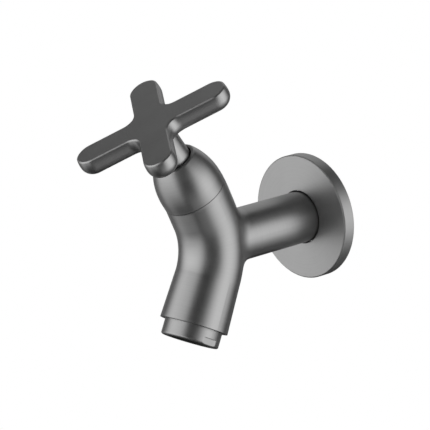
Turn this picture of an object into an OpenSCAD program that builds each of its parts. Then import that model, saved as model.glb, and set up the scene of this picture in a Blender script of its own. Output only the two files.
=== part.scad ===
// Wall-mounted garden tap with a cross handle and a quarter-turn ceramic valve.
// Millimetres. The wall is the plane y = 0 and the tap stands out along -Y.
// The inlet thread points along +Y, into the wall. X = 0 is the plane of symmetry.

/* [Wall flange] */
// Outer diameter of the flange that covers the hole in the wall
flange_d = 55; // [50:1:70]
// How far the flange stands off the wall
flange_t = 5.6; // [5:0.1:9]
// Bevel round the flange's front edge
flange_bevel = 0.45; // [0.2:0.05:1]
// Wall of the hollow flange
flange_wall = 1.6; // [1.2:0.1:2]
// Gap between the flange's hole and the arm
flange_hole_gap = 0.5; // [0.3:0.05:0.8]
// Section of the ring that grips the arm inside the flange
flange_ring_d = 1.8; // [1.5:0.1:2.2]

/* [Arm and inlet] */
// Diameter of the arm between the wall and the body
arm_d = 22.7; // [22:0.1:26]
// Radius of the sweep from the arm into the body's sides
root_round = 10; // [9:0.5:12]
// Depth under the body's skin at which that sweep ends on the arm
root_depth = 9.9; // [9.8:0.1:10.4]
// Inlet thread over its crests (G1/2)
inlet_thread_d = 20.955; // [20:0.001:21]
// Length of the inlet thread beyond the wall plane
inlet_thread_l = 15; // [10:1:20]
// Bore through the arm
inlet_bore = 12; // [9:0.5:13]
// Chamfer at the end of the inlet thread
inlet_chamfer = 1; // [0.5:0.1:1.5]

/* [Body] */
// Diameter of the cast body below the bonnet
body_d = 28.1; // [27.5:0.1:30]
// Distance of the seam's centre from the wall
seam_reach = 65.5; // [64:0.5:70]
// Height of the seam's centre above the inlet
seam_rise = 22.9; // [22.5:0.1:25]
// Tilt of the spindle from the vertical, away from the wall
head_tilt = 31.1; // [29:0.1:33]
// Bend just below the seam
upper_bend = 9.2; // [6:0.1:12]
// Radius of that bend
upper_bend_r = 16; // [15.5:0.5:20]
// Straight length between the two bends
upper_straight = 9.6; // [8:0.1:12]
// Radius of the spout's main bend
main_bend_r = 31.7; // [28:0.1:36]
// Tilt of the outlet from the vertical, away from the wall
outlet_tilt = 28.1; // [24:0.1:32]
// Straight length above the mouth
spout_straight = 20.8; // [18:0.1:30]
// Outer diameter of the spout at its mouth
mouth_d = 29.6; // [29:0.1:31]

/* [Waterways] */
// Bore of the spout above the aerator
spout_bore = 18; // [14:0.5:20]
// Bore of the duct from the valve to the spout
duct_bore = 9; // [7:0.5:9]
// Hole under the valve's seal
seat_hole = 9; // [7:0.5:9.5]

/* [Bonnet] */
// Diameter of the bonnet at the seam
bonnet_d = 28.26; // [28:0.01:30]
// Height of the bonnet above the seam
bonnet_h = 18.95; // [18:0.05:20]
// Height of the straight part at its foot
bonnet_foot = 3; // [2:0.1:4]
// Chamfer round the foot, which shows as the fine line at the seam
seam_chamfer = 0.3; // [0.1:0.05:0.5]
// Wall left round the valve's hexagon
bonnet_wall = 1.8; // [1.6:0.1:2.2]
// Thickness of the bonnet round the valve's gland
bonnet_web = 6.1; // [6:0.1:6.4]
// Radius of the bonnet's curved side
bonnet_curve = 30.3; // [29:0.1:34]
// Rounding of the bonnet's lip
bonnet_lip = 0.75; // [0.4:0.05:0.8]
// Gap between the bonnet's mouth and the handle's neck
neck_gap = 0.55; // [0.4:0.05:0.8]

/* [Handle] */
// Span of the cross from tip to tip
handle_span = 68.7; // [60:0.1:80]
// Width of an arm across its flat top
handle_arm_w = 12.6; // [12:0.1:14]
// Depth of the arms
handle_depth = 8.7; // [8:0.1:11]
// How far an arm's sides swell past its flat top
handle_swell = 0.4; // [0.2:0.1:1]
// Rounding of the arms' underside
handle_round = 4.8; // [3:0.1:5]
// Bevel round the flat top
handle_edge = 0.4; // [0.1:0.05:0.5]
// Rounding between neighbouring arms
handle_fillet = 5.8; // [4.5:0.1:8]
// Height of the flat top above the seam
handle_top = 39.8; // [38:0.1:42]
// Turn of the cross about the spindle when the tap is shut
handle_angle = 49.6; // [0:0.1:89]
// Neck diameter at the bonnet
neck_d = 15.4; // [15:0.1:16]
// Neck diameter under the cross
neck_top_d = 14; // [13.6:0.1:15]

/* [Valve] */
// Thread that holds the valve in the body
valve_thread_d = 20.96; // [20:0.01:21]
// Length of that thread
valve_thread_l = 8.5; // [7:0.1:9]
// Depth of the valve's seat below the seam
seat_depth = 19; // [18.6:0.1:19.4]
// Space round the windowed foot of the valve
pocket_d = 19.2; // [19:0.1:19.6]
// Windowed foot of the valve
skirt_d = 16.6; // [16.4:0.1:17]
// Bore for the ceramic discs
disc_bore = 14; // [13.8:0.1:14.2]
// Height of the hexagon
valve_hex_h = 5.6; // [5:0.1:6]
// Height of the gland above the seam
gland_h = 12; // [11.5:0.1:12.5]
// Diameter of the spindle
spindle_d = 8.9; // [8.6:0.1:9.2]
// Thickness of the fixed ceramic disc
fixed_disc_t = 3; // [2.6:0.1:3.2]
// Thickness of the moving ceramic disc
moving_disc_t = 2.8; // [2.4:0.1:3]
// Thickness of the rubber seal under the discs
seat_seal_t = 2.2; // [2:0.1:2.4]
// Turn of the handle from shut to open
quarter_turn = 90; // [85:1:90]

/* [Outlet] */
// Aerator thread over its crests (M24)
aerator_thread_d = 24; // [23:0.5:24]
// Collar of the aerator below the mouth
collar_d = 25.1; // [24.6:0.1:26]
// Length of the collar that shows
collar_l = 6.9; // [6:0.1:9]
// Length of the aerator's thread
aerator_thread_l = 6; // [5:0.1:7]
// Rounding at the collar's lower edge
collar_round = 0.8; // [0.4:0.1:1]
// Height of the two flats for the spanner
flat_h = 2.9; // [2.5:0.1:4]
// Width over those two flats
flat_w = 24; // [23:0.1:24.4]
// Turn of the flats about the outlet
flat_angle = 0; // [0:1:90]

/* [Fits] */
// Radial gap of a screwed thread
thread_gap = 0.05; // [0.02:0.01:0.08]
// Radial gap of a turning fit
running_gap = 0.05; // [0.03:0.01:0.08]
// Gap round a rubber ring in its groove
ring_gap = 0.05; // [0.02:0.01:0.08]
// Gap between faces that slide on each other
face_gap = 0.02; // [0.01:0.01:0.04]

/* [Hidden] */
$fn = 96;

gunmetal = [0.33, 0.33, 0.34];
brass = [0.80, 0.66, 0.35];
ceramic = [0.93, 0.93, 0.90];
rubber = [0.10, 0.10, 0.10];
plastic = [0.85, 0.86, 0.88];
steel = [0.70, 0.71, 0.73];
eps = 0.01;
// The bends are this much slimmer than the straights, so that they join cleanly
bend_step = 0.04;

// The valve's head follows the bonnet that covers it
hex_gap = 0.4;
valve_hex = (bonnet_d - 2 * bonnet_wall - 2 * hex_gap) * cos(30);
gland_d = bonnet_d - 2 * bonnet_web;

main_bend = head_tilt - upper_bend + outlet_tilt;
// Where the spindle's axis crosses the level of the inlet
chamber_y = -seam_reach + seam_rise * tan(head_tilt);

// Heights on the spindle's axis, measured from the seam
seal_z = -seat_depth;
fixed_z = seal_z + seat_seal_t;
moving_z = fixed_z + fixed_disc_t + face_gap;
driver_z = moving_z + moving_disc_t + face_gap;
driver_fork_h = 2.4;
driver_plate_t = 1.6;
spindle_foot_z = driver_z + driver_fork_h + driver_plate_t;
spindle_foot_t = 1.2;
washer_t = 0.6;
washer_z = spindle_foot_z + spindle_foot_t + face_gap;
shoulder_z = washer_z + washer_t + face_gap;
circlip_t = 0.8;
circlip_z = gland_h + 0.1;
neck_z = bonnet_h - 1.7;
cross_z = handle_top - handle_depth;
spline_z = gland_h + 2;
spline_d = 7.8;
adaptor_z = neck_z + 0.3;
adaptor_d = 11;
adaptor_h = 8;
adaptor_top = adaptor_z + adaptor_h;
spline_top = adaptor_top - 1.2;
grub_d = 4;
grub_z = neck_z + 5;
grub_l = 3;
grub_in = spline_d / 2 + 0.15;

// Heights in the outlet, measured up from the mouth
insert_d = 21.2;
insert_z = 1.4 - collar_l;
insert_h = aerator_thread_l - 0.6 - insert_z;
screen_d = 18.6;
screen_t = 0.5;
screen_pitch = screen_t + 0.1;
screen_z = insert_z + 0.8;
diffuser_d = 19.4;
diffuser_t = 1.2;
diffuser_z = aerator_thread_l - 2.2;

// Rubber rings on the spindle's axis
cartridge_ring_d = 1.8;
cartridge_ring_z = -1.05;
cartridge_groove_d = 18.6;
bonnet_ring_d = 1.7;
bonnet_ring_z = 9.2;
bonnet_groove_d = gland_d - 1.4;
spindle_ring_d = 1.1;
spindle_groove_d = spindle_d - 2 * (spindle_ring_d + ring_gap - running_gap);
spindle_ring_z = [-2.6, 2.2];

// Stops that hold the handle to a quarter turn
stop_rib = 40;
stop_free = 0.5;
stop_lug = 180 - stop_rib - quarter_turn - 2 * stop_free;
stop_r = 5.9;

// Frames

module at_head() translate([0, -seam_reach, seam_rise]) rotate([head_tilt, 0, 0]) children();

// Moves past a bend that turns away from the wall
module past_bend(bend_r, bend)
    translate([0, -bend_r, 0]) rotate([-bend, 0, 0]) translate([0, bend_r, 0]) children();

module at_upper() at_head() past_bend(upper_bend_r, upper_bend) children();

module at_spout()
    at_upper() translate([0, 0, -upper_straight]) past_bend(main_bend_r, main_bend) children();

module at_mouth() at_spout() translate([0, 0, -spout_straight]) children();

// Puts Z along the wall's inward normal
module at_inlet() rotate([-90, 0, 0]) children();

// Shapes that repeat

module ring(outer_d, inner_d, height)
    difference() {
        cylinder(d = outer_d, h = height);
        translate([0, 0, -1]) cylinder(d = inner_d, h = height + 2);
    }

module o_ring(mid_d, section_d)
    rotate_extrude() translate([mid_d / 2, 0]) circle(d = section_d, $fn = 32);

// A slice of a ring between two radii
module sector(inner_r, outer_r, height, start, angle)
    rotate([0, 0, start]) rotate_extrude(angle = angle)
        translate([inner_r, 0]) square([outer_r - inner_r, height]);

module elbow(bend_r, bend, section_d)
    translate([0, -bend_r, 0]) rotate([0, -90, 0]) rotate([0, 0, 90])
        rotate_extrude(angle = bend) translate([bend_r, 0]) circle(d = section_d);

// A round rod between two points of the plane of symmetry, each given as [y, z]
module rod(from, to, rod_d) {
    step = to - from;
    translate([0, from[0], from[1]])
        rotate([-atan2(step[0], step[1]), 0, 0])
            cylinder(d = rod_d, h = norm(step));
}

// Body

// Half of the inlet arm, swept out where it runs into the body
module inlet_arm_outline() {
    root_y = chamber_y + body_d / 2 - root_depth;
    root_out = 1.4;
    root_in = 4;
    difference() {
        translate([0, root_y - root_in]) square([arm_d / 2 + root_out, root_in - root_y]);
        translate([arm_d / 2, root_y]) square([root_out + 1, 1 - root_y]);
        translate([arm_d / 2 + root_round, root_y]) circle(r = root_round, $fn = 180);
    }
}

module body_outside() {
    at_head() elbow(upper_bend_r, upper_bend, body_d - bend_step);
    at_upper() translate([0, 0, -upper_straight - eps])
        cylinder(d = body_d, h = upper_straight + 2 * eps);
    at_upper() translate([0, 0, -upper_straight])
        elbow(main_bend_r, main_bend, body_d - bend_step);
    at_mouth() cylinder(d1 = mouth_d, d2 = body_d, h = spout_straight + eps);
    at_inlet() rotate_extrude() inlet_arm_outline();
    at_inlet() cylinder(d = inlet_thread_d, h = inlet_thread_l - inlet_chamfer);
    at_inlet() translate([0, 0, inlet_thread_l - inlet_chamfer])
        cylinder(d1 = inlet_thread_d, d2 = inlet_thread_d - 2 * inlet_chamfer, h = inlet_chamfer);
}

// Point [y, z] of the symmetry plane from a point of the spindle's frame
function head_point(across, up) = [
    -seam_reach + across * cos(head_tilt) - up * sin(head_tilt),
    seam_rise + across * sin(head_tilt) + up * cos(head_tilt)
];

// Centre of the spout's bore at its upper end
function bend_point() =
    let (a1 = head_tilt - upper_bend,
         top = head_point(0, 0),
         knee = top + upper_bend_r * [cos(a1) - cos(head_tilt), sin(a1) - sin(head_tilt)],
         foot = knee + upper_straight * [sin(a1), -cos(a1)])
    foot + main_bend_r * [cos(outlet_tilt) - cos(a1), -sin(outlet_tilt) - sin(a1)];

module body_waterways() {
    at_inlet() translate([0, 0, chamber_y]) cylinder(d = inlet_bore, h = inlet_thread_l - chamber_y + 1);
    at_head() translate([0, 0, seal_z - 7]) cylinder(d = seat_hole, h = 8);
    at_head() translate([0, 0, seal_z]) cylinder(d = pocket_d, h = seat_depth - valve_thread_l + eps);
    rod(bend_point() - [0, 2], head_point(1.5 - pocket_d / 2, seal_z + 3), duct_bore);
    at_mouth() cylinder(d = spout_bore, h = spout_straight);
}

module tap_body()
    color(gunmetal) difference() {
        body_outside();
        body_waterways();
        at_head() translate([0, 0, -valve_thread_l - eps])
            cylinder(d = valve_thread_d, h = valve_thread_l + 1);
        at_head() translate([0, 0, cartridge_ring_z - cartridge_ring_d / 2 - ring_gap])
            cylinder(d = cartridge_groove_d + 2 * (cartridge_ring_d + 2 * ring_gap), h = 4);
        at_mouth() translate([0, 0, -1])
            cylinder(d = aerator_thread_d + 2 * thread_gap, h = aerator_thread_l + 2);
    }

// Wall flange

flange_hole_d = arm_d + 2 * flange_hole_gap;
flange_groove_d = arm_d + 2 * (flange_ring_d + 2 * ring_gap);
flange_boss_d = flange_groove_d + 2 * flange_wall;

module wall_flange()
    color(gunmetal) rotate([90, 0, 0]) difference() {
        union() {
            ring(flange_d, flange_hole_d, flange_t - flange_bevel);
            translate([0, 0, flange_t - flange_bevel - eps]) difference() {
                cylinder(d1 = flange_d, d2 = flange_d - 2 * flange_bevel, h = flange_bevel + eps);
                translate([0, 0, -1]) cylinder(d = flange_hole_d, h = flange_bevel + 2);
            }
        }
        translate([0, 0, -eps])
            ring(flange_d - 2 * flange_wall, flange_boss_d, flange_t - flange_wall);
        translate([0, 0, -eps]) cylinder(d = flange_groove_d, h = flange_t - flange_wall);
    }

module flange_o_ring()
    color(rubber) translate([0, -(flange_t - flange_wall - flange_ring_d / 2 - 0.2), 0])
        rotate([90, 0, 0]) o_ring(arm_d + flange_ring_d + 2 * ring_gap, flange_ring_d);

// Bonnet

mouth_r = neck_d / 2 + neck_gap;
hex_room = bonnet_d - 2 * bonnet_wall;

module bonnet_outline() {
    centre_r = bonnet_d / 2 - bonnet_curve;
    lip_z = bonnet_h - bonnet_lip;
    lip_r = centre_r + sqrt(pow(bonnet_curve - bonnet_lip, 2) - pow(lip_z - bonnet_foot, 2));
    lean = asin((lip_z - bonnet_foot) / (bonnet_curve - bonnet_lip));
    difference() {
        union() {
            polygon([[0, 0], [bonnet_d / 2 - seam_chamfer, 0], [bonnet_d / 2, seam_chamfer],
                     [bonnet_d / 2, bonnet_foot], [0, bonnet_foot]]);
            intersection() {
                translate([centre_r, bonnet_foot]) circle(r = bonnet_curve, $fn = 360);
                translate([0, bonnet_foot - eps]) square([bonnet_d, bonnet_h - bonnet_foot + eps]);
            }
        }
        translate([lip_r, lip_z]) difference() {
            polygon([[0, 0], 6 * [cos(lean), sin(lean)], [6, 6], [0, 6]]);
            circle(r = bonnet_lip, $fn = 48);
        }
    }
}

module bonnet()
    color(gunmetal) at_head() difference() {
        rotate_extrude() bonnet_outline();
        translate([0, 0, -1]) cylinder(d = hex_room, h = valve_hex_h + 1.8);
        translate([0, 0, -1]) cylinder(d = bonnet_groove_d + 2 * (bonnet_ring_d + 2 * ring_gap), h = gland_h + 2);
        translate([0, 0, -1]) cylinder(r = mouth_r, h = bonnet_h + 2);
    }

module bonnet_o_ring()
    color(rubber) at_head() translate([0, 0, bonnet_ring_z])
        o_ring(bonnet_groove_d + bonnet_ring_d + 2 * ring_gap, bonnet_ring_d);

// Valve

module groove(outer_d, inner_d, z, width)
    translate([0, 0, z - width / 2]) ring(outer_d + 1, inner_d, width);

module cartridge_body()
    color(brass) at_head() difference() {
        union() {
            translate([0, 0, seal_z + 0.5]) cylinder(d = skirt_d, h = seat_depth);
            translate([0, 0, 0.4 - valve_thread_l])
                cylinder(d = valve_thread_d - 2 * thread_gap, h = valve_thread_l - 0.4);
            cylinder(d = valve_hex / cos(30), h = valve_hex_h, $fn = 6);
            cylinder(d = gland_d, h = gland_h);
        }
        difference() {
            translate([0, 0, seal_z - 1]) cylinder(d = disc_bore, h = shoulder_z - seal_z + 1);
            for (side = [0, 180]) translate([0, 0, spindle_foot_z + face_gap])
                sector(stop_r + 2 * running_gap, disc_bore, spindle_foot_t - face_gap,
                       side + handle_angle, stop_rib);
        }
        translate([0, 0, seal_z]) cylinder(d = spindle_d + 2 * running_gap, h = seat_depth + gland_h + 1);
        translate([-disc_bore / 4, -skirt_d, driver_z]) cube([disc_bore / 2, 2 * skirt_d, driver_fork_h - 0.4]);
        groove(valve_thread_d, cartridge_groove_d, cartridge_ring_z, cartridge_ring_d + 2 * ring_gap);
        groove(gland_d, bonnet_groove_d, bonnet_ring_z, bonnet_ring_d + 2 * ring_gap);
    }

module cartridge_o_ring()
    color(rubber) at_head() translate([0, 0, cartridge_ring_z])
        o_ring(cartridge_groove_d + cartridge_ring_d + 2 * ring_gap, cartridge_ring_d);

module seat_seal()
    color(rubber) at_head() translate([0, 0, seal_z])
        ring(disc_bore - 2 * ring_gap, seat_hole, seat_seal_t);

disc_port = 80;

module port_disc(disc_d, thickness, turn)
    difference() {
        cylinder(d = disc_d, h = thickness);
        for (side = [0, 180]) translate([0, 0, -1])
            sector(1.4, disc_d / 2 - 2.2, thickness + 2, side + turn - disc_port / 2, disc_port);
    }

module fixed_disc()
    color(ceramic) at_head() translate([0, 0, fixed_z])
        port_disc(disc_bore - 2 * ring_gap, fixed_disc_t, 0);

module moving_disc()
    color(ceramic) at_head() translate([0, 0, moving_z]) difference() {
        port_disc(disc_bore - 4 * running_gap, moving_disc_t, 90);
        for (side = [0, 180]) translate([0, 0, moving_disc_t - 1])
            sector(disc_bore / 2 - 2, disc_bore, 2, side - 14, 28);
    }

module disc_driver()
    color(brass) at_head() {
        translate([0, 0, driver_z + driver_fork_h]) difference() {
            cylinder(d = disc_bore - 4 * running_gap, h = driver_plate_t);
            translate([-1.5, -3.5, 0.6]) cube([3, 7, driver_plate_t]);
        }
        for (side = [0, 180]) translate([0, 0, driver_z - 0.8])
            sector(disc_bore / 2 - 1.8, disc_bore / 2 - 0.4, driver_fork_h + 0.9, side - 12, 24);
    }

module thrust_washer()
    color(plastic) at_head() translate([0, 0, washer_z])
        ring(disc_bore - 4 * running_gap, spindle_d + 4 * running_gap, washer_t);

module spline(root_d, height)
    linear_extrude(height) union() {
        circle(d = root_d);
        for (tooth = [0 : 19]) rotate(tooth * 18)
            polygon([[root_d / 2 - 0.6, -0.45], [root_d / 2 + 0.4, -0.2],
                     [root_d / 2 + 0.4, 0.2], [root_d / 2 - 0.6, 0.45]]);
    }

module spindle()
    color(brass) at_head() difference() {
        union() {
            translate([0, 0, spindle_foot_z]) cylinder(r = stop_r, h = spindle_foot_t);
            for (side = [0, 180]) translate([0, 0, spindle_foot_z])
                sector(stop_r - 0.5, disc_bore / 2 - 2 * running_gap, spindle_foot_t,
                       side + handle_angle + stop_rib + stop_free, stop_lug);
            translate([-1.45, -3.4, spindle_foot_z - driver_plate_t + 0.65])
                cube([2.9, 6.8, driver_plate_t]);
            translate([0, 0, spindle_foot_z]) cylinder(d = spindle_d, h = spline_z - spindle_foot_z);
            translate([0, 0, spline_z - eps]) spline(spline_d - 0.8, spline_top - spline_z);
        }
        for (z = spindle_ring_z) groove(spindle_d, spindle_groove_d, z, spindle_ring_d + 2 * ring_gap);
        groove(spindle_d, spindle_d - 1.6, circlip_z + circlip_t / 2, circlip_t + 2 * face_gap);
        translate([0, 0, spline_top - 6]) cylinder(d = 3.3, h = 7);
    }

module spindle_o_rings()
    color(rubber) at_head() for (z = spindle_ring_z) translate([0, 0, z])
        o_ring(spindle_groove_d + spindle_ring_d + ring_gap, spindle_ring_d);

module spindle_circlip()
    color(steel) at_head() translate([0, 0, circlip_z])
        sector(spindle_d / 2 - 0.75, spindle_d / 2 + 1.3, circlip_t, 30, 300);

// Handle

module spline_adaptor()
    color(plastic) at_head() difference() {
        translate([0, 0, adaptor_z]) cylinder(d = adaptor_d - 2 * ring_gap, h = adaptor_h);
        translate([0, 0, adaptor_z - 1]) spline(spline_d - 0.8 + 2 * ring_gap, spline_top - adaptor_z + 1.3);
        translate([0, 0, adaptor_z - 1]) cylinder(d = spindle_d + 2 * ring_gap, h = 1.6);
        at_grub() cylinder(d = grub_d, h = adaptor_d);
    }

// Half of an arm's section, flat top at y = 0 and centre line at x = 0
module arm_outline() {
    swell_depth = 0.36 * handle_depth;
    side_r = (pow(swell_depth, 2) + pow(handle_swell, 2)) / (2 * handle_swell);
    widest = handle_arm_w / 2 + handle_swell;
    side_x = widest - side_r;
    round_y = handle_round - handle_depth;
    drop = -swell_depth - round_y;
    round_x = side_x + sqrt(pow(side_r - handle_round, 2) - pow(drop, 2));
    lean = asin(drop / (side_r - handle_round));
    difference() {
        intersection() {
            translate([side_x, -swell_depth]) circle(r = side_r, $fn = 180);
            translate([0, -handle_depth]) square([widest + 1, handle_depth]);
        }
        translate([round_x, round_y]) difference() {
            polygon([[0, 0], [0, -9], [9, -9], 9 * [cos(lean), -sin(lean)]]);
            circle(r = handle_round, $fn = 96);
        }
        translate([handle_arm_w / 2, 0]) rotate(45)
            square(handle_edge * sqrt(2), center = true);
    }
}

module arm_tip() rotate([0, 0, -90]) rotate_extrude(angle = 180) arm_outline();

// One arm of full section, from the corner's end to the tip's centre
module arm_bar(start, reach)
    rotate([90, 0, 90]) translate([0, 0, start]) linear_extrude(reach - start) {
        arm_outline();
        mirror([1, 0]) arm_outline();
    }

module arm_corner(axis_at)
    translate([axis_at, axis_at, 0]) rotate([0, 0, 180]) rotate_extrude(angle = 90)
        translate([axis_at, 0]) mirror([1, 0]) arm_outline();

// The star between the four rounded corners
module hub_core(axis_at)
    translate([0, 0, -handle_depth]) linear_extrude(handle_depth) difference() {
        square(2 * axis_at - 1, center = true);
        for (x = [-axis_at, axis_at]) for (y = [-axis_at, axis_at])
            translate([x, y]) circle(r = axis_at - 0.1, $fn = 128);
    }

module cross_solid() {
    reach = handle_span / 2 - handle_arm_w / 2;
    axis_at = handle_arm_w / 2 + handle_fillet;
    hub_core(axis_at);
    for (turn = [0 : 90 : 270]) rotate([0, 0, turn]) {
        arm_corner(axis_at);
        arm_bar(axis_at, reach);
        translate([reach, 0, 0]) arm_tip();
    }
}

module at_grub()
    translate([0, 0, grub_z]) rotate([0, 0, handle_angle + 45]) rotate([0, 90, 0]) children();

module handle_cross()
    color(gunmetal) at_head() difference() {
        union() {
            translate([0, 0, handle_top]) rotate([0, 0, handle_angle]) cross_solid();
            translate([0, 0, neck_z])
                cylinder(d1 = neck_d, d2 = neck_top_d, h = cross_z + 2 - neck_z);
        }
        translate([0, 0, neck_z - 1]) cylinder(d = adaptor_d, h = adaptor_top - neck_z + 1);
        at_grub() cylinder(d = grub_d, h = neck_d);
    }

module grub_screw()
    color(steel) at_head() at_grub() difference() {
        translate([0, 0, grub_in]) cylinder(d = grub_d - 2 * thread_gap, h = grub_l);
        translate([0, 0, grub_in + grub_l - 1.6]) cylinder(d = 2.3, h = 2, $fn = 6);
    }

// Outlet

module aerator_housing()
    color(gunmetal) at_mouth() difference() {
        union() {
            translate([0, 0, collar_round - collar_l]) cylinder(d = collar_d, h = collar_l - collar_round);
            translate([0, 0, -collar_l]) cylinder(d = collar_d - 2 * collar_round, h = collar_l);
            translate([0, 0, collar_round - collar_l])
                o_ring(collar_d - 2 * collar_round, 2 * collar_round);
            cylinder(d = aerator_thread_d, h = aerator_thread_l);
        }
        translate([0, 0, insert_z]) cylinder(d = insert_d + 2 * ring_gap, h = collar_l + aerator_thread_l);
        translate([0, 0, -collar_l - 1]) cylinder(d = insert_d - 2.6, h = collar_l);
        for (side = [0, 180]) rotate([0, 0, flat_angle + side])
            translate([flat_w / 2, -collar_d / 2, -collar_l - 1]) cube([collar_d, collar_d, flat_h + 1]);
    }

module aerator_washer()
    color(rubber) at_mouth() translate([0, 0, aerator_thread_l])
        ring(aerator_thread_d - 0.8, spout_bore, 1);

module aerator_insert()
    color(plastic) at_mouth() difference() {
        translate([0, 0, insert_z]) cylinder(d = insert_d, h = insert_h);
        translate([0, 0, insert_z - 1]) cylinder(d = screen_d - 1.6, h = insert_h + 2);
        translate([0, 0, screen_z]) cylinder(d = screen_d + 2 * ring_gap, h = insert_h);
        translate([0, 0, diffuser_z]) cylinder(d = diffuser_d + 2 * ring_gap, h = insert_h);
    }

// Round holes on a triangular grid
module hole_grid(hole_d, pitch, reach_d, depth)
    for (row = [-6 : 6]) for (col = [-6 : 6])
        let (spot = pitch * [col + row / 2, row * sin(60)])
            if (norm(spot) + hole_d / 2 < reach_d / 2) translate([spot[0], spot[1], -1])
                cylinder(d = hole_d, h = depth + 2, $fn = 16);

module diffuser_plate()
    color(plastic) at_mouth() translate([0, 0, diffuser_z]) difference() {
        cylinder(d = diffuser_d, h = diffuser_t);
        hole_grid(1.4, 3.2, diffuser_d - 2, diffuser_t);
    }

module mesh_screens()
    color(steel) at_mouth() for (layer = [0, 1])
        translate([0, 0, screen_z + layer * screen_pitch]) difference() {
            cylinder(d = screen_d, h = screen_t);
            rotate([0, 0, 30 * layer]) hole_grid(1.9, 2.5, screen_d - 1, screen_t);
        }

tap_body();
wall_flange();
flange_o_ring();
bonnet();
bonnet_o_ring();
cartridge_body();
cartridge_o_ring();
seat_seal();
fixed_disc();
moving_disc();
disc_driver();
thrust_washer();
spindle();
spindle_o_rings();
spindle_circlip();
spline_adaptor();
handle_cross();
grub_screw();
aerator_housing();
aerator_washer();
aerator_insert();
diffuser_plate();
mesh_screens();
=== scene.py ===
"""Looks of the garden tap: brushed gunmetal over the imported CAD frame, in a white photo studio."""

import math

import bpy
import numpy as np
from mathutils import Matrix, Vector


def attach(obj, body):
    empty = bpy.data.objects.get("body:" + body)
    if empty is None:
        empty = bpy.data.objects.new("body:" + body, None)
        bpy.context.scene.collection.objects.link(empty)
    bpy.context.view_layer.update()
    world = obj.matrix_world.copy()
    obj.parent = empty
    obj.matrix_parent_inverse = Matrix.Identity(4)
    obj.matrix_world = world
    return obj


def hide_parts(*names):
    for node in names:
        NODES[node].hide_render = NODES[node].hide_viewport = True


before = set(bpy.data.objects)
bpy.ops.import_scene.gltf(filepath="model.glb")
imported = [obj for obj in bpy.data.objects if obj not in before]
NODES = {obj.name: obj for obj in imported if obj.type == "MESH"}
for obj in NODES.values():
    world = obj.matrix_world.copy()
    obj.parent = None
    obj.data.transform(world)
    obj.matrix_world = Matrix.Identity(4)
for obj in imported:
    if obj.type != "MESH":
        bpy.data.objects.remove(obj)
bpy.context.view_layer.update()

# Places and axes of the tap, as part.scad has them, in metres.
MM = 0.001
CENTRE = Vector((0, 0, 0))
SIDE = Vector((1, 0, 0))
ARM = Vector((0, 1, 0))
SEAM = Vector((0, -65.5, 22.9)) * MM
TILT = math.radians(31.1)
HEAD = Vector((0, -math.sin(TILT), math.cos(TILT)))
MOUTH = Vector((0, -72.02, -33.41)) * MM
OUTLET_TILT = math.radians(28.1)
OUTLET = Vector((0, math.sin(OUTLET_TILT), math.cos(OUTLET_TILT)))
ARM_R, TUBE_R = 0.01135, 0.01405

# Middle line of the spout: length and bending radius of each stretch, downwards (0 is straight).
ABOVE_SEAM = 0.045
SPINE_STRETCHES = (
    (ABOVE_SEAM, 0),
    (0.016 * math.radians(9.2), 0.016),
    (0.0096, 0),
    (0.0317 * math.radians(50), 0.0317),
    (0.032, 0),
)
SPINE_STEP = 0.0004

# Camera of the photograph, solved from its ellipses: degrees, millimetres and pixels.
CAMERA_TURN, CAMERA_RISE, CAMERA_ROLL = 48.874, 12.3486, -4.8014
CAMERA_BACK, CAMERA_RIGHT, CAMERA_UP = 1000, -41.50187, -0.319757
FOCAL_PIXELS, IMAGE_PIXELS = 2269.755, 430
SENSOR_WIDTH = 36

# Studio. It has its middle in the tap; white fills the world, less of it for diffuse light.
MIDDLE = Vector((0, -0.045, 0.0))
WORLD_FILL = 0.35
SHELL_RADIUS, SHELL_STEP = 2.2, 3
FLOOR_DROP, FLOOR_RADIUS, FLOOR_GREY, FLOOR_GLOW = 0.8, 0.8, 0.86, 0.8

# Lamps: azimuth, elevation, distance, width, height, brightness of the face.
LAMPS = (
    ("soft_box_left", -22, 13, 1.6, 2.2, 1.8, 0.9),
    ("soft_box_right", 117, -2, 1.6, 1.3, 1.8, 0.9),
)
# Cards that only the metal sees: azimuths, elevations, softness of the edge, brightness.
CARDS = (
    ("top", (0, 360), (47, 120), 4, 0.04),
    ("low", (0, 360), (-120, -52), 4, 0.08),
    ("front_high", (23, 80), (6, 120), 3, 0.04),
    ("front_middle", (23, 80), (-37, 6), 3, 0.04),
    ("front_low", (23, 50), (-120, -30), 3, 0.04),
    ("front_low_right", (49, 80), (-120, -37), 3, 0.40),
    ("back_right", (156, 194), (-120, 120), 4, 0.04),
    ("back_high", (194, 252), (5, 120), 4, 0.66),
    ("back_low", (194, 252), (-120, 5), 4, 0.04),
    ("back_left", (252, 292), (-120, 120), 5, 0.11),
    ("right_high", (80, 136), (23, 120), 4, 0.25),
    ("right_back", (136, 156), (25, 120), 3, 0.04),
    ("right_low", (122, 156), (-120, -32), 4, 0.35),
    ("left_low", (-68, 23), (-120, -44), 4, 0.04),
    ("overhead", (0, 360), (64, 120), 4, 0.2),
)
# Soft boxes as the metal sees them: what each adds to the white behind it.
GLOWS = (
    ("left", (-62, 14), (-16, 42), 5, 0.59),
    ("left_core", (-56, -6), (-8, 28), 6, 0.24),
    ("right", (90, 142), (-34, 26), 5, 0.59),
    ("right_core", (99, 133), (-22, 12), 5, 0.45),
)

# Inlet thread G1/2, with its run-in at the wall end of the arm and its run-out.
THREAD_R, THREAD_PITCH, THREAD_DEPTH = 0.0104775, 0.001814, 0.001162
THREAD_LENGTH, THREAD_RUN_IN, THREAD_RUN_OUT = 0.014, 0.0012, 0.0009
THREAD_COLUMNS, THREAD_ROWS = 120, 132

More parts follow.
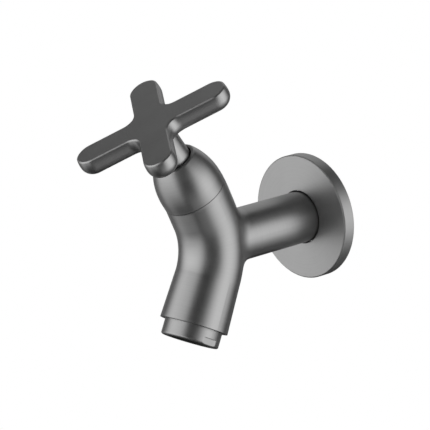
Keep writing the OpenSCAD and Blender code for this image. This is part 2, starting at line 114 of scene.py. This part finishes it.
# Fillet round the arm's root: radius above and below the arm, and what it gains at the sides.
BEAD_R, BEAD_R_MORE = 0.0068, 0.0038
BEAD_COLUMNS, BEAD_STEPS, BEAD_DEPTH = 180, 7, 0.0004
ROOT_SEARCH = (SEAM.y + 0.007, -0.03)

# Two woven screens at the outlet.
SCREEN_HEIGHTS, SCREEN_R = (-0.00445, -0.00385), 0.0091
WIRE_PITCH, WIRE_R, WIRE_SIDES = 0.00084, 0.00011, 5
RIM_R, RIM_SIDES, RIM_STEPS = 0.00022, 8, 96

# Metal of the tap, with a lighter copy of it for the flange as painted light, and painted shade for
# the outlet collar's bore and end face, which are also left matt.
GUNMETAL, FLANGE_GUNMETAL_PAINTED_LIGHTER = (0.302,) * 3, (0.318,) * 3
COLLAR_BORE_R, COLLAR_END = 0.0096, -0.00682
INSIDE_SHADE_COLOUR, DULL_ROUGHNESS = 0.2, 0.85


def direction(azimuth, elevation):
    """Unit vector: azimuth from -Y towards +X, elevation above the horizon, in degrees."""
    a, e = math.radians(azimuth), math.radians(elevation)
    return Vector((math.sin(a) * math.cos(e), -math.cos(a) * math.cos(e), math.sin(e)))


def round_angles(count):
    """Equal steps of a full turn, without its end."""
    return np.linspace(0, 2 * math.pi, count + 1)[:-1]


def unit(v):
    return v / max(np.linalg.norm(v), 1e-9)


def link_object(name, data):
    o = bpy.data.objects.new(name, data)
    bpy.context.scene.collection.objects.link(o)
    return o


def make_camera():
    """The camera of the photograph."""
    turn, roll = math.radians(CAMERA_TURN), math.radians(CAMERA_ROLL)
    back = direction(CAMERA_TURN, CAMERA_RISE)
    right = Vector((math.cos(turn), math.sin(turn), 0))
    up = back.cross(right)
    right, up = (
        math.cos(roll) * right + math.sin(roll) * up,
        math.cos(roll) * up - math.sin(roll) * right,
    )
    eye = (back * CAMERA_BACK + right * CAMERA_RIGHT + up * CAMERA_UP) * MM
    cam = link_object("camera", bpy.data.cameras.new("camera"))
    cam.data.sensor_width = SENSOR_WIDTH
    cam.data.lens = FOCAL_PIXELS / IMAGE_PIXELS * SENSOR_WIDTH
    cam.data.clip_start, cam.data.clip_end = 0.05, 20
    cam.matrix_world = Matrix.Translation(eye) @ Matrix((right, up, back)).transposed().to_4x4()
    bpy.context.scene.camera = cam


# Node helpers


def feed(nt, socket, value):
    """Set a socket to a value, or link it to the socket that is given."""
    if isinstance(value, bpy.types.NodeSocket):
        nt.links.new(value, socket)
    else:
        socket.default_value = value


def bare_tree(owner, output="ShaderNodeOutputMaterial"):
    """Emptied node tree of a material or a world, and its output node."""
    owner.use_nodes = True
    owner.node_tree.nodes.clear()
    return owner.node_tree, owner.node_tree.nodes.new(output)


def add_math(nt, what, *values):
    n = nt.nodes.new("ShaderNodeMath")
    n.operation = what
    for socket, v in zip(n.inputs, values):
        feed(nt, socket, v)
    return n.outputs[0]


def add_vector(nt, what, *values, out="Vector"):
    n = nt.nodes.new("ShaderNodeVectorMath")
    n.operation = what
    for i, v in enumerate(values):
        feed(nt, n.inputs["Scale"] if what == "SCALE" and i == 1 else n.inputs[i], v)
    return n.outputs[out]


def add_noise(nt, where, scale, detail=2.0, rough=0.5):
    n = nt.nodes.new("ShaderNodeTexNoise")
    n.inputs["Scale"].default_value = scale
    n.inputs["Detail"].default_value = detail
    n.inputs["Roughness"].default_value = rough
    nt.links.new(where, n.inputs["Vector"])
    return n.outputs["Fac"]


def add_range(nt, value, low, high, to_low, to_high):
    n = nt.nodes.new("ShaderNodeMapRange")
    for name, v in zip(("From Min", "From Max", "To Min", "To Max"), (low, high, to_low, to_high)):
        n.inputs[name].default_value = v
    nt.links.new(value, n.inputs["Value"])
    return n.outputs["Result"]


def add_mix(nt, kind, factor, a, b):
    """Mix of two numbers (FLOAT) or colours (RGBA), or of sockets."""
    n = nt.nodes.new("ShaderNodeMix")
    n.data_type = kind
    for name, v in (("Factor", factor), ("A", a), ("B", b)):
        feed(nt, n.inputs[name], v)
    return n.outputs["Result"]


def add_attribute(nt, name, out):
    n = nt.nodes.new("ShaderNodeAttribute")
    n.attribute_name = name
    return n.outputs[out]


def add_place(nt):
    """Coordinates of the object, which are the row frame's."""
    return nt.nodes.new("ShaderNodeTexCoord").outputs["Object"]


def add_bump(nt, shader, height, strength, distance, edge=0):
    """Fine relief on the shader, over edges that look rounded by the radius edge."""
    bump = nt.nodes.new("ShaderNodeBump")
    bump.inputs["Strength"].default_value = strength
    bump.inputs["Distance"].default_value = distance
    nt.links.new(height, bump.inputs["Height"])
    if edge:
        soft_edge = nt.nodes.new("ShaderNodeBevel")
        soft_edge.samples = 6
        soft_edge.inputs["Radius"].default_value = edge
        nt.links.new(soft_edge.outputs[0], bump.inputs["Normal"])
    nt.links.new(bump.outputs[0], shader.inputs["Normal"])


# Light and surroundings


def soft_box(name, azimuth, elevation, distance, width, height, level):
    """A large soft box that faces the tap; the metal sees it as one of the shell's glows."""
    lamp = bpy.data.lights.new(name, "AREA")
    lamp.shape = "RECTANGLE"
    lamp.size, lamp.size_y = width, height
    lamp.energy = level * math.pi * width * height
    away = direction(azimuth, elevation)
    o = link_object(name, lamp)
    o.location = MIDDLE + away * distance
    o.rotation_mode = "QUATERNION"
    o.rotation_quaternion = away.to_track_quat("Z", "Y")
    o.visible_camera = False
    o.visible_glossy = False


def soft_span(value, low, high, edge):
    """1 between low and high, falling softly to 0 outside."""
    rise = 1 / (1 + np.exp(-np.clip((value - low) / edge, -40, 40)))
    return rise / (1 + np.exp(-np.clip((high - value) / edge, -40, 40)))


def soft_patch(az, el, azimuths, elevations, edge):
    """How far directions lie in a patch of the studio's shell."""
    low, high = azimuths
    if high - low >= 360:
        return soft_span(el, *elevations, edge)
    middle = (low + high) / 2
    turned = (az - middle + 180) % 360 - 180 + middle
    return soft_span(turned, low, high, edge) * soft_span(el, *elevations, edge)


def shell_paint():
    """Emission as strong as the mesh's attribute glow."""
    mat = bpy.data.materials.new("studio_shell")
    nt, out = bare_tree(mat)
    mat.cycles.emission_sampling = "NONE"
    light = nt.nodes.new("ShaderNodeEmission")
    nt.links.new(add_attribute(nt, "glow", "Fac"), light.inputs["Strength"])
    nt.links.new(light.outputs[0], out.inputs[0])
    return mat


def studio_shell():
    """White shell round the tap with the cards and glows on it, for the metal's reflections."""
    az, el = np.meshgrid(np.arange(0, 360, SHELL_STEP), np.arange(-90, 91, SHELL_STEP))
    level = np.ones(az.shape)
    for _, azimuths, elevations, edge, grey in CARDS:
        part = soft_patch(az, el, azimuths, elevations, edge)
        level = level * (1 - part) + grey * part
    for _, azimuths, elevations, edge, extra in GLOWS:
        level = level + extra * soft_patch(az, el, azimuths, elevations, edge)
    rows, columns = az.shape
    co = [tuple(MIDDLE + direction(a, e) * SHELL_RADIUS) for a, e in zip(az.flat, el.flat)]
    quads = []
    for j in range(rows - 1):
        here, above = j * columns, (j + 1) * columns
        for i in range(columns):
            k = (i + 1) % columns
            quads.append((here + i, here + k, above + k, above + i))
    mesh = bpy.data.meshes.new("studio_shell")
    mesh.from_pydata(co, [], quads)
    mesh.attributes.new("glow", "FLOAT", "POINT").data.foreach_set("value", level.ravel())
    mesh.materials.append(shell_paint())
    o = link_object("studio_shell", mesh)
    o.visible_camera = False
    o.visible_diffuse = False
    o.visible_transmission = False
    o.visible_shadow = False


def floor_paint():
    """Pale floor that the camera sees nearly white, and that keeps the tap's shadow."""
    mat = bpy.data.materials.new("floor_paint")
    nt, out = bare_tree(mat)
    pale = nt.nodes.new("ShaderNodeBsdfDiffuse")
    pale.inputs["Color"].default_value = (FLOOR_GREY, FLOOR_GREY, FLOOR_GREY, 1)
    white = nt.nodes.new("ShaderNodeEmission")
    path = nt.nodes.new("ShaderNodeLightPath")
    mix = nt.nodes.new("ShaderNodeMixShader")
    share = add_math(nt, "MULTIPLY", path.outputs["Is Camera Ray"], FLOOR_GLOW)
    nt.links.new(share, mix.inputs[0])
    nt.links.new(pale.outputs[0], mix.inputs[1])
    nt.links.new(white.outputs[0], mix.inputs[2])
    nt.links.new(mix.outputs[0], out.inputs[0])
    return mat


def make_studio():
    """White world, soft boxes, reflecting shell and floor."""
    world = bpy.data.worlds.new("studio")
    bpy.context.scene.world = world
    nt, out = bare_tree(world, "ShaderNodeOutputWorld")
    white = nt.nodes.new("ShaderNodeBackground")
    white.inputs["Color"].default_value = (1, 1, 1, 1)
    path = nt.nodes.new("ShaderNodeLightPath")
    seen = add_math(nt, "MAXIMUM", path.outputs["Is Camera Ray"], path.outputs["Is Glossy Ray"])
    seen = add_math(nt, "MAXIMUM", seen, path.outputs["Is Transmission Ray"])
    level = add_math(nt, "MULTIPLY_ADD", seen, 1 - WORLD_FILL, WORLD_FILL)
    nt.links.new(level, white.inputs["Strength"])
    nt.links.new(white.outputs[0], out.inputs[0])

    for lamp in LAMPS:
        soft_box(*lamp)
    studio_shell()

    below = (MIDDLE.x, MIDDLE.y, -FLOOR_DROP)
    bpy.ops.mesh.primitive_circle_add(
        vertices=96, radius=FLOOR_RADIUS, fill_type="NGON", location=below
    )
    floor = bpy.context.object
    floor.name = "floor"
    floor.data.materials.append(floor_paint())
    floor.visible_glossy = False


# Materials


def new_material(name, **sockets):
    mat = bpy.data.materials.new(name)
    mat.use_nodes = True
    shader = mat.node_tree.nodes["Principled BSDF"]
    for key, value in sockets.items():
        shader.inputs[key.replace("_", " ")].default_value = value
    return mat, mat.node_tree, shader


def around_axis(nt, place, centre, axis):
    """Height along an axis through centre, and the way straight out from that axis."""
    rel = add_vector(nt, "SUBTRACT", place, tuple(centre))
    rise = add_vector(nt, "DOT_PRODUCT", rel, tuple(axis), out="Value")
    out = add_vector(nt, "SUBTRACT", rel, add_vector(nt, "SCALE", tuple(axis), rise))
    return rise, out


def turned_grain(nt, place, centre, axis, fine, coarse):
    """Direction and coordinates of lines round an axis, or round the spout where axis is None."""
    if axis is None:
        height = add_attribute(nt, "along", "Fac")
        line = add_attribute(nt, "round", "Vector")
    else:
        rise, out = around_axis(nt, place, centre, axis)
        height = add_math(nt, "ADD", rise, add_vector(nt, "LENGTH", out, out="Value"))
        line = add_vector(nt, "CROSS_PRODUCT", tuple(axis), out)
    step = nt.nodes.new("ShaderNodeCombineXYZ")
    nt.links.new(add_math(nt, "MULTIPLY", height, fine), step.inputs[0])
    spread = add_vector(nt, "SCALE", place, coarse)
    return line, add_vector(nt, "ADD", spread, step.outputs[0])


def brushed(name, colour, centre=None, axis=None, rough=0.36, aniso=0.3, edge=0.0004):
    """Brushed metal whose fine lines run round the axis, with the satin's unevenness."""
    mat, nt, shader = new_material(name, Metallic=1.0, Anisotropic=aniso)
    place = add_place(nt)
    line, grain = turned_grain(nt, place, centre, axis, fine=4200.0, coarse=60.0)
    lines = add_noise(nt, grain, 1.0, 3.0, 0.65)
    cloud = add_noise(nt, place, 110.0, 3.0, 0.55)
    both = add_math(nt, "MULTIPLY_ADD", cloud, 0.4, add_math(nt, "MULTIPLY", lines, 0.6))
    dark = (*(c * 0.95 for c in colour), 1)
    light = (*(c * 1.05 for c in colour), 1)
    tint = add_mix(nt, "RGBA", add_range(nt, both, 0.38, 0.62, 0, 1), dark, light)
    nt.links.new(tint, shader.inputs["Base Color"])
    satin = add_range(nt, both, 0.3, 0.7, rough - 0.04, rough + 0.04)
    nt.links.new(satin, shader.inputs["Roughness"])
    add_bump(nt, shader, lines, 0.3, 0.000006, edge)
    if aniso:
        normal = nt.nodes.new("ShaderNodeNewGeometry").outputs["Normal"]
        across = add_vector(nt, "NORMALIZE", add_vector(nt, "CROSS_PRODUCT", normal, line))
        nt.links.new(across, shader.inputs["Tangent"])
    return mat


def painted_shade_inside(mat, centre, axis, radius, end):
    """Painted shade inside a radius and past an end: the metal is darkened there, and made matt."""
    nt = mat.node_tree
    shader = nt.nodes["Principled BSDF"]
    rise, out = around_axis(nt, add_place(nt), centre, axis)
    far = add_vector(nt, "LENGTH", out, out="Value")
    inside = add_range(nt, far, radius, radius + 0.0001, 1, 0)
    past = add_range(nt, rise, end - 0.0001, end + 0.00005, 1, 0)
    shade_mask = add_math(nt, "MAXIMUM", inside, past)
    colour, roughness = shader.inputs["Base Color"], shader.inputs["Roughness"]
    # Painted shade: the colour is darkened where the mask holds.
    shade_fade = add_range(nt, shade_mask, 0, 1, 1, INSIDE_SHADE_COLOUR)
    dark = add_vector(nt, "SCALE", colour.links[0].from_socket, shade_fade)
    matt = add_mix(nt, "FLOAT", shade_mask, roughness.links[0].from_socket, DULL_ROUGHNESS)
    nt.links.new(dark, colour)
    nt.links.new(matt, roughness)


def grained(name, low, high, rough, scale, depth, metallic=0.0, specular=0.5):
    """Moulded, cast or turned stock: a fine grain in colour, roughness and relief."""
    mat, nt, shader = new_material(name, Metallic=metallic, Specular_IOR_Level=specular)
    place = add_place(nt)
    grain = add_noise(nt, place, scale, 4.0, 0.6)
    broad = add_noise(nt, place, scale / 12, 2.0, 0.5)
    both = add_math(nt, "MULTIPLY_ADD", broad, 0.5, add_math(nt, "MULTIPLY", grain, 0.5))
    tint = add_mix(nt, "RGBA", add_range(nt, both, 0.35, 0.65, 0, 1), (*low, 1), (*high, 1))
    nt.links.new(tint, shader.inputs["Base Color"])
    gloss = add_range(nt, both, 0.3, 0.7, rough - 0.05, rough + 0.06)
    nt.links.new(gloss, shader.inputs["Roughness"])
    add_bump(nt, shader, grain, 0.4, depth)
    return mat


def paint(mat, *names):
    for name in names:
        materials = NODES[name].data.materials
        materials.clear()
        materials.append(mat)


# Cast body: its thread, the fillet of the arm's root and the run of its brushing


def spine():
    """Middle line of the spout, from above the bonnet down past the outlet: points, upward axes
    and lengths from the seam."""
    points, axes, run = [], [], []
    at, angle, length = SEAM + HEAD * ABOVE_SEAM, TILT, -ABOVE_SEAM
    for reach, bend in SPINE_STRETCHES:
        count = max(2, int(reach / SPINE_STEP))
        step = reach / count
        turn = step / bend if bend else 0
        for _ in range(count):
            points.append(at.copy())
            axes.append((0, -math.sin(angle), math.cos(angle)))
            run.append(length)
            middle = angle - turn / 2
            at = at + Vector((0, math.sin(middle), -math.cos(middle))) * step
            angle -= turn
            length += step
    return np.array(points), np.array(axes), np.array(run)


def thread_grid():
    """Skin of the inlet's thread: rounded crests and roots, running out at both ends."""
    y = np.linspace(0.0, THREAD_LENGTH, THREAD_ROWS)
    yy, tt = np.meshgrid(y, round_angles(THREAD_COLUMNS), indexing="ij")
    phase = (yy / THREAD_PITCH - tt / (2 * math.pi)) % 1.0
    wave = np.abs(phase * 2 - 1)
    wave = wave * wave * (3 - 2 * wave)
    run_in = np.clip(yy / THREAD_RUN_IN, 0, 1)
    run_out = np.clip((THREAD_LENGTH - yy) / THREAD_RUN_OUT, 0, 1)
    r = THREAD_R - THREAD_DEPTH * wave * (run_in * run_out)
    co = np.stack([r * np.cos(tt), yy, r * np.sin(tt)], -1).reshape(-1, 3)
    quads = []
    for j in range(THREAD_ROWS - 1):
        here, above = j * THREAD_COLUMNS, (j + 1) * THREAD_COLUMNS
        for i in range(THREAD_COLUMNS):
            k = (i + 1) % THREAD_COLUMNS
            quads.append((here + i, above + i, above + k, here + k))
    return co, quads


def off_tube(at, points, axes):
    """How far a point lies outside the spout, and the way straight out of it."""
    i = np.argmin(((points - at) ** 2).sum(1))
    out = at - points[i]
    out = out - axes[i] * out.dot(axes[i])
    far = np.linalg.norm(out)
    return far - TUBE_R, out / far


def bead_section(angle, points, axes):
    """Section of the root's fillet at an angle round the arm: its curve and a point under it."""
    y_axis = np.array((0.0, 1.0, 0.0))
    away = np.array((math.cos(angle), 0.0, math.sin(angle)))
    low, high = ROOT_SEARCH
    for _ in range(40):
        mid = (low + high) / 2
        in_tube = off_tube(away * ARM_R + y_axis * mid, points, axes)[0] < 0
        low, high = (mid, high) if in_tube else (low, mid)
    joint = away * ARM_R + y_axis * low
    normal = off_tube(joint, points, axes)[1]
    slope = away - normal * away.dot(normal)
    slope /= np.linalg.norm(slope)
    reach = (BEAD_R + BEAD_R_MORE * away[0] ** 2) * math.tan(math.acos(-slope[1]) / 2)
    on_arm = joint + y_axis * reach
    on_tube = joint + slope * reach
    for _ in range(3):
        off, tube_normal = off_tube(on_tube, points, axes)
        on_tube = on_tube - tube_normal * off
    corner = on_arm - y_axis * ((on_arm - on_tube).dot(tube_normal) / tube_normal[1])
    t = np.linspace(0, 1, BEAD_STEPS)[:, None]
    curve = (1 - t) ** 2 * on_arm + 2 * t * (1 - t) * corner + t**2 * on_tube
    inside = away + normal
    return curve, joint - inside / np.linalg.norm(inside) * BEAD_DEPTH


def root_bead(points, axes):
    """Fillet round the arm's root, as a closed ring just over the root that the CAD body has:
    points, quads, normals of their corners, and each point's share of the spout's brushing."""
    columns, steps = BEAD_COLUMNS, BEAD_STEPS
    sections = [bead_section(2 * math.pi * k / columns, points, axes) for k in range(columns)]
    rings = np.array([curve for curve, _ in sections])
    inner = np.array([under for _, under in sections])
    along = np.gradient(rings, axis=1)
    turn = (np.roll(rings, -1, 0) - np.roll(rings, 1, 0)) / 2
    normals = np.cross(along, turn)
    normals /= np.linalg.norm(normals, axis=2, keepdims=True)
    normals *= np.sign((normals * (rings - inner[:, None])).sum(2, keepdims=True))
    quads, corner_n = [], []
    for k in range(columns):
        n = (k + 1) % columns
        a, b = k * steps, n * steps
        for j in range(steps - 1):
            quads.append((a + j, b + j, b + j + 1, a + j + 1))
            corner_n += [normals[k, j], normals[n, j], normals[n, j + 1], normals[k, j + 1]]
        under_a, under_b = columns * steps + k, columns * steps + n
        quads.append((a + steps - 1, b + steps - 1, under_b, under_a))
        quads.append((under_a, under_b, b, a))
        corner_n += [-normals[k, steps // 2]] * 8
    share = np.concatenate([np.tile(np.linspace(0, 1, steps), columns), np.ones(columns)])
    return np.concatenate([rings.reshape(-1, 3), inner]), quads, corner_n, share


def lay_brushing(mesh, co, bead_from, bead_share, points, axes, run):
    """Store where each corner lies along its turned shape, and which way its lines run: round
    the arm, round the spout, or between the two on the fillet."""
    near = np.array([np.argmin(((points - v) ** 2).sum(1)) for v in co])
    radius = np.hypot(co[:, 0], co[:, 2])
    on_arm = (np.abs(radius - ARM_R) < 6e-5) | (co[:, 1] > -1e-4)
    to_tube = np.where(on_arm, 0.0, 1.0)
    to_tube[bead_from:] = bead_share
    along = mesh.attributes.new("along", "FLOAT", "CORNER")
    line = mesh.attributes.new("round", "FLOAT_VECTOR", "CORNER")
    for p in mesh.polygons:
        bead_face = all(v >= bead_from for v in p.vertices)
        arm_face = all(on_arm[v] for v in p.vertices)
        for k in p.loop_indices:
            v = mesh.loops[k].vertex_index
            i = near[v]
            out = co[v] - points[i]
            out = out - axes[i] * out.dot(axes[i])
            share = to_tube[v] if bead_face else float(not arm_face)
            round_arm = unit(np.cross((0, 1, 0), (co[v][0], 0, co[v][2])))
            round_tube = unit(np.cross(axes[i], out))
            if round_arm.dot(round_tube) < 0:
                round_tube = -round_tube
            along_arm = co[v][1] + radius[v]
            along_tube = run[i] + np.linalg.norm(out)
            along.data[k].value = along_arm * (1 - share) + along_tube * share
            line.data[k].vector = round_arm * (1 - share) + round_tube * share


def dressed_body(material):
    """Copy of the cast body with its real inlet thread, its fillet and its brushing."""
    src = NODES["tap_body"].data
    co = np.array([v.co for v in src.vertices])
    normals = np.array([n.vector for n in src.corner_normals])
    r = np.hypot(co[:, 0], co[:, 2])
    on_thread = (np.abs(r - THREAD_R) < 4e-5) & (co[:, 1] > -1e-5)
    faces, corner_n = [], []
    for p in src.polygons:
        if not all(on_thread[v] for v in p.vertices):
            faces.append(tuple(p.vertices))
            corner_n.extend(normals[p.loop_start : p.loop_start + p.loop_total])

    points, axes, run = spine()
    grid, grid_quads = thread_grid()
    bead, bead_quads, bead_n, bead_share = root_bead(points, axes)
    grid_from = len(co)
    bead_from = grid_from + len(grid)
    faces += [tuple(v + grid_from for v in q) for q in grid_quads]
    faces += [tuple(v + bead_from for v in q) for q in bead_quads]
    co = np.vstack([co, grid, bead])
    mesh = bpy.data.meshes.new("cast_body")
    mesh.from_pydata(co.tolist(), [], faces)
    mesh.shade_smooth()
    vertex_n = np.array([v.normal for v in mesh.vertices])
    for q in grid_quads:
        corner_n.extend(vertex_n[v + grid_from] for v in q)
    corner_n.extend(bead_n)
    mesh.normals_split_custom_set([tuple(n) for n in corner_n])
    lay_brushing(mesh, co, bead_from, bead_share, points, axes, run)

    mesh.materials.append(material)
    o = link_object("cast_body", mesh)
    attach(o, "tap")
    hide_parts("tap_body")


# Woven screens of the outlet


def mouth_place(x, y, z):
    """Point of the row frame from one in the outlet's frame, whose z runs up into the spout."""
    return MOUTH + SIDE * x + OUTLET.cross(SIDE) * y + OUTLET * z


def lay_tube(verts, faces, path, radius, sides, closed=False):
    """Add a round wire along a path to the lists of points and quads."""
    base, n = len(verts), len(path)
    for i, at in enumerate(path):
        ahead = path[(i + 1) % n] if closed or i + 1 < n else at
        back = path[i - 1] if closed or i > 0 else at
        run = (ahead - back).normalized()
        side = run.cross(OUTLET).normalized()
        top = side.cross(run)
        for k in range(sides):
            a = 2 * math.pi * k / sides
            verts.append(at + (side * math.cos(a) + top * math.sin(a)) * radius)
    for i in range(n if closed else n - 1):
        a, b = base + i * sides, base + (i + 1) % n * sides
        for k in range(sides):
            turned = (k + 1) % sides
            faces.append((a + k, a + turned, b + turned, b + k))


def wire_path(index, across, z):
    """One wire of the weave, across the screen, over and under those that cross it."""
    at = index * WIRE_PITCH
    half = math.sqrt(max(SCREEN_R**2 - at**2, 0))
    steps = max(4, int(2 * half / WIRE_PITCH * 2))
    path = []
    for j in range(steps + 1):
        t = -half + 2 * half * j / steps
        lift = WIRE_R * math.cos(math.pi * (t / WIRE_PITCH + index)) * (1 if across else -1)
        x, y = (at, t) if across else (t, at)
        path.append(mouth_place(x, y, z + lift))
    return path


def woven_screens(material):
    """The outlet's two screens as woven wire, each inside its round rim."""
    verts, faces = [], []
    count = int(SCREEN_R / WIRE_PITCH)
    for z in SCREEN_HEIGHTS:
        for across in (False, True):
            for i in range(-count, count + 1):
                lay_tube(verts, faces, wire_path(i, across, z), WIRE_R, WIRE_SIDES)
        rim = [
            mouth_place(SCREEN_R * math.cos(a), SCREEN_R * math.sin(a), z)
            for a in round_angles(RIM_STEPS)
        ]
        lay_tube(verts, faces, rim, RIM_R, RIM_SIDES, closed=True)
    mesh = bpy.data.meshes.new("woven_screens")
    mesh.from_pydata([tuple(v) for v in verts], [], faces)
    mesh.shade_smooth()
    mesh.materials.append(material)
    o = link_object("woven_screens", mesh)
    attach(o, "tap")
    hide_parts("mesh_screens")


make_camera()
make_studio()

body_metal = brushed("gunmetal_body", GUNMETAL, edge=0)
head_metal = brushed("gunmetal_bonnet", GUNMETAL, SEAM, HEAD)
handle_metal = brushed("gunmetal_handle", GUNMETAL, SEAM, HEAD, rough=0.34, aniso=0.0)
# The flange's colour is a lighter copy of the body's gunmetal: painted light.
flange_metal = brushed("gunmetal_flange", FLANGE_GUNMETAL_PAINTED_LIGHTER, CENTRE, ARM, rough=0.42)
mouth_metal = brushed("gunmetal_collar", GUNMETAL, MOUTH, OUTLET)
# Painted shade in the outlet collar's bore and on its end face.
painted_shade_inside(mouth_metal, MOUTH, OUTLET, COLLAR_BORE_R, COLLAR_END)
paint(head_metal, "bonnet")
paint(handle_metal, "handle_cross")
paint(flange_metal, "wall_flange")
paint(body_metal, "tap_body")
paint(mouth_metal, "aerator_housing")

brass = grained("valve_brass", (0.52, 0.36, 0.15), (0.66, 0.47, 0.21), 0.3, 2500, 0.00001, 1.0)
steel = grained("stainless", (0.5, 0.5, 0.49), (0.62, 0.62, 0.6), 0.28, 3000, 0.000008, 1.0)
ceramic = grained("disc_ceramic", (0.68, 0.67, 0.63), (0.8, 0.79, 0.75), 0.3, 1800, 0.000005)
rubber = grained("seal_rubber", (0.012, 0.012, 0.013), (0.03, 0.03, 0.03), 0.62, 2600, 0.00002)
plastic = grained("white_plastic", (0.66, 0.66, 0.63), (0.76, 0.76, 0.73), 0.42, 2200, 0.00001)
paint(brass, "cartridge_body", "spindle", "disc_driver")
paint(steel, "spindle_circlip", "grub_screw", "mesh_screens")
paint(ceramic, "fixed_disc", "moving_disc")
paint(rubber, "flange_o_ring", "bonnet_o_ring", "cartridge_o_ring")
paint(rubber, "seat_seal", "spindle_o_rings", "aerator_washer")
paint(plastic, "spline_adaptor", "thrust_washer", "aerator_insert", "diffuser_plate")

dressed_body(body_metal)
woven_screens(steel)

bpy.context.scene.view_settings.view_transform = "Standard"
bpy.context.view_layer.update()
